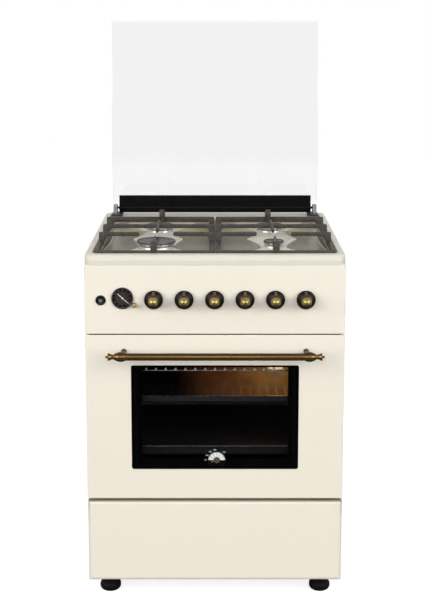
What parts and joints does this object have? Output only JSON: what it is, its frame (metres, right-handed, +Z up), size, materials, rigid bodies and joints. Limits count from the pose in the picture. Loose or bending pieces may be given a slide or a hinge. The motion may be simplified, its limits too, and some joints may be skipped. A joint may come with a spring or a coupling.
{
  "type": "free-standing gas cooker",
  "caption": "Cream enamelled free-standing gas cooker with a drop-down oven door, storage drawer, iron pan supports and an open glass lid.",
  "frame": {"origin": "on the floor, in the middle of the whole outline", "axes": "+Z up, front of the cooker faces -Y, +X to the right as seen from the front"},
  "size_m": [0.6, 0.678, 1.36],
  "materials": {
    "cream_enamel": "glossy vitreous enamel",
    "zinc_sheet": "zinc-plated sheet",
    "black_enamel": "glossy dark enamel",
    "glass_wool": "glass wool",
    "aluminised_steel": "aluminised steel",
    "steel_tube": "plain tube",
    "tap_brass": "machined",
    "burner_alloy": "cast and machined",
    "cap_enamel": "satin black enamel",
    "ceramic": "glazed ceramic",
    "timer_black": "satin dark",
    "clear_glass": "polished toughened glass",
    "gloss_black": "glossy",
    "chromed_wire": "chrome-plated",
    "lamp_glass": "frosted",
    "seal_rubber": "matt",
    "dark_plastic": "satin dark",
    "dark_glass": "tinted, polished",
    "antique_brass": "antiqued, lacquered",
    "red_paint": "matt",
    "hinge_chrome": "satin",
    "cast_iron": "matt enamelled",
    "button_grey": "glossy",
    "white_paint": "matt",
    "foot_plastic": "matt",
    "knob_bronze": "dark skirt with a brass dome"
  },
  "bodies": {
    "cooker_body": {"side_panels": "cream_enamel", "back_panel": "zinc_sheet", "base_plate": "zinc_sheet", "front_frame": "black_enamel", "hob_top": "cream_enamel", "control_panel": "cream_enamel", "oven_cavity": "black_enamel", "insulation": "glass_wool", "oven_floor": "black_enamel", "oven_burners": "aluminised_steel", "gas_pipework": "steel_tube", "gas_taps": "tap_brass", "burner_bodies": "burner_alloy", "burner_caps": "cap_enamel", "ignition_unit": "ceramic", "timer_case": "timer_black", "timer_lens": "clear_glass", "button_bezel": "gloss_black", "shelf_ladders": "chromed_wire", "wire_rack": "chromed_wire", "baking_trays": "black_enamel", "oven_lamp": "lamp_glass", "door_seal": "seal_rubber", "hinge_brackets": "zinc_sheet", "lid_sockets": "dark_plastic", "lid_hinges": "hinge_chrome", "back_fittings": "dark_plastic"},
    "oven_door": {"door_panel": "cream_enamel", "door_glasses": "dark_glass", "door_inner_frame": "black_enamel", "door_hinge_leaves": "zinc_sheet", "door_handle": "antique_brass", "thermometer_case": "timer_black"},
    "pointer": {"thermometer_pointer": "red_paint"},
    "drawer": {"drawer_front": "cream_enamel", "drawer_box": "zinc_sheet"},
    "lid": {"lid_glass": "clear_glass", "lid_rail": "dark_plastic"},
    "left_support": {"grate_left": "cast_iron"},
    "right_support": {"grate_right": "cast_iron"},
    "spark_button": {"ignition_button": "button_grey"},
    "set_knob": {"timer_knob": "antique_brass"},
    "hours": {"hour_hand": "white_paint"},
    "minutes": {"minute_hand": "white_paint"},
    "foot_fl": {"foot_front_left": "foot_plastic"},
    "foot_fr": {"foot_front_right": "foot_plastic"},
    "foot_rl": {"foot_rear_left": "foot_plastic"},
    "foot_rr": {"foot_rear_right": "foot_plastic"},
    "plug_1": {"tap_plug_1": "tap_brass"},
    "gas_knob_1": {"knob_1": "knob_bronze"},
    "plug_2": {"tap_plug_2": "tap_brass"},
    "gas_knob_2": {"knob_2": "knob_bronze"},
    "plug_3": {"tap_plug_3": "tap_brass"},
    "gas_knob_3": {"knob_3": "knob_bronze"},
    "plug_4": {"tap_plug_4": "tap_brass"},
    "gas_knob_4": {"knob_4": "knob_bronze"},
    "plug_5": {"tap_plug_5": "tap_brass"},
    "gas_knob_5": {"knob_5": "knob_bronze"},
    "plug_6": {"tap_plug_6": "tap_brass"},
    "gas_knob_6": {"knob_6": "knob_bronze"}
  },
  "joints": [
    {"name": "oven_door", "type": "hinge", "parent": "cooker_body", "child": "oven_door", "pos_m": [0, -0.265, 0.263], "axis": [1, 0, 0], "range_deg": [0, 90]},
    {"name": "thermometer", "type": "hinge", "parent": "oven_door", "child": "pointer", "pos_m": [0.004, -0.272, 0.341], "axis": [0, 1, 0], "range_deg": [0, 200], "stiffness_Nm_per_rad": 0.001},
    {"name": "drawer", "type": "slide", "parent": "cooker_body", "child": "drawer", "axis": [0, 1, 0], "range_m": [-0.3, 0]},
    {"name": "lid", "type": "hinge", "parent": "cooker_body", "child": "lid", "pos_m": [0, 0.283, 0.853], "axis": [-1, 0, 0], "range_deg": [-90, 0]},
    {"name": "lift_left", "type": "slide", "parent": "cooker_body", "child": "left_support", "axis": [0, 0, 1], "range_m": [0, 0.06]},
    {"name": "lift_right", "type": "slide", "parent": "cooker_body", "child": "right_support", "axis": [0, 0, 1], "range_m": [0, 0.06]},
    {"name": "spark_push", "type": "slide", "parent": "cooker_body", "child": "spark_button", "axis": [0, 1, 0], "range_m": [0, 0.003], "stiffness_N_per_m": 500},
    {"name": "timer_set", "type": "hinge", "parent": "cooker_body", "child": "set_knob", "pos_m": [-0.186, -0.279, 0.717], "axis": [0, -1, 0], "continuous": true},
    {"name": "minute_turn", "type": "hinge", "parent": "cooker_body", "child": "minutes", "pos_m": [-0.213, -0.281, 0.733], "axis": [0, -1, 0], "continuous": true},
    {"name": "hour_turn", "type": "hinge", "parent": "cooker_body", "child": "hours", "pos_m": [-0.213, -0.28, 0.733], "axis": [0, -1, 0], "continuous": true},
    {"name": "screw_front_left", "type": "slide", "parent": "cooker_body", "child": "foot_fl", "axis": [0, 0, -1], "range_m": [0, 0.015]},
    {"name": "screw_front_right", "type": "slide", "parent": "cooker_body", "child": "foot_fr", "axis": [0, 0, -1], "range_m": [0, 0.015]},
    {"name": "screw_rear_left", "type": "slide", "parent": "cooker_body", "child": "foot_rl", "axis": [0, 0, -1], "range_m": [0, 0.015]},
    {"name": "screw_rear_right", "type": "slide", "parent": "cooker_body", "child": "foot_rr", "axis": [0, 0, -1], "range_m": [0, 0.015]},
    {"name": "tap_turn_1", "type": "hinge", "parent": "cooker_body", "child": "plug_1", "pos_m": [-0.141, -0.229, 0.73], "axis": [0, -1, 0], "range_deg": [0, 210]},
    {"name": "knob_push_1", "type": "slide", "parent": "plug_1", "child": "gas_knob_1", "axis": [0, 1, 0], "range_m": [0, 0.003], "stiffness_N_per_m": 800},
    {"name": "tap_turn_2", "type": "hinge", "parent": "cooker_body", "child": "plug_2", "pos_m": [-0.071, -0.229, 0.73], "axis": [0, -1, 0], "range_deg": [0, 210]},
    {"name": "knob_push_2", "type": "slide", "parent": "plug_2", "child": "gas_knob_2", "axis": [0, 1, 0], "range_m": [0, 0.003], "stiffness_N_per_m": 800},
    {"name": "tap_turn_3", "type": "hinge", "parent": "cooker_body", "child": "plug_3", "pos_m": [-0.001, -0.229, 0.73], "axis": [0, -1, 0], "range_deg": [0, 210]},
    {"name": "knob_push_3", "type": "slide", "parent": "plug_3", "child": "gas_knob_3", "axis": [0, 1, 0], "range_m": [0, 0.003], "stiffness_N_per_m": 800},
    {"name": "tap_turn_4", "type": "hinge", "parent": "cooker_body", "child": "plug_4", "pos_m": [0.069, -0.229, 0.73], "axis": [0, -1, 0], "range_deg": [0, 210]},
    {"name": "knob_push_4", "type": "slide", "parent": "plug_4", "child": "gas_knob_4", "axis": [0, 1, 0], "range_m": [0, 0.003], "stiffness_N_per_m": 800},
    {"name": "tap_turn_5", "type": "hinge", "parent": "cooker_body", "child": "plug_5", "pos_m": [0.139, -0.229, 0.73], "axis": [0, -1, 0], "range_deg": [0, 210]},
    {"name": "knob_push_5", "type": "slide", "parent": "plug_5", "child": "gas_knob_5", "axis": [0, 1, 0], "range_m": [0, 0.003], "stiffness_N_per_m": 800},
    {"name": "tap_turn_6", "type": "hinge", "parent": "cooker_body", "child": "plug_6", "pos_m": [0.209, -0.229, 0.73], "axis": [0, -1, 0], "range_deg": [0, 210]},
    {"name": "knob_push_6", "type": "slide", "parent": "plug_6", "child": "gas_knob_6", "axis": [0, 1, 0], "range_m": [0, 0.003], "stiffness_N_per_m": 800}
  ],
  "couplings": [
    {"joint": "minute_turn", "follows": "timer_set", "ratio": -1},
    {"joint": "hour_turn", "follows": "timer_set", "ratio": -0.083333}
  ]
}
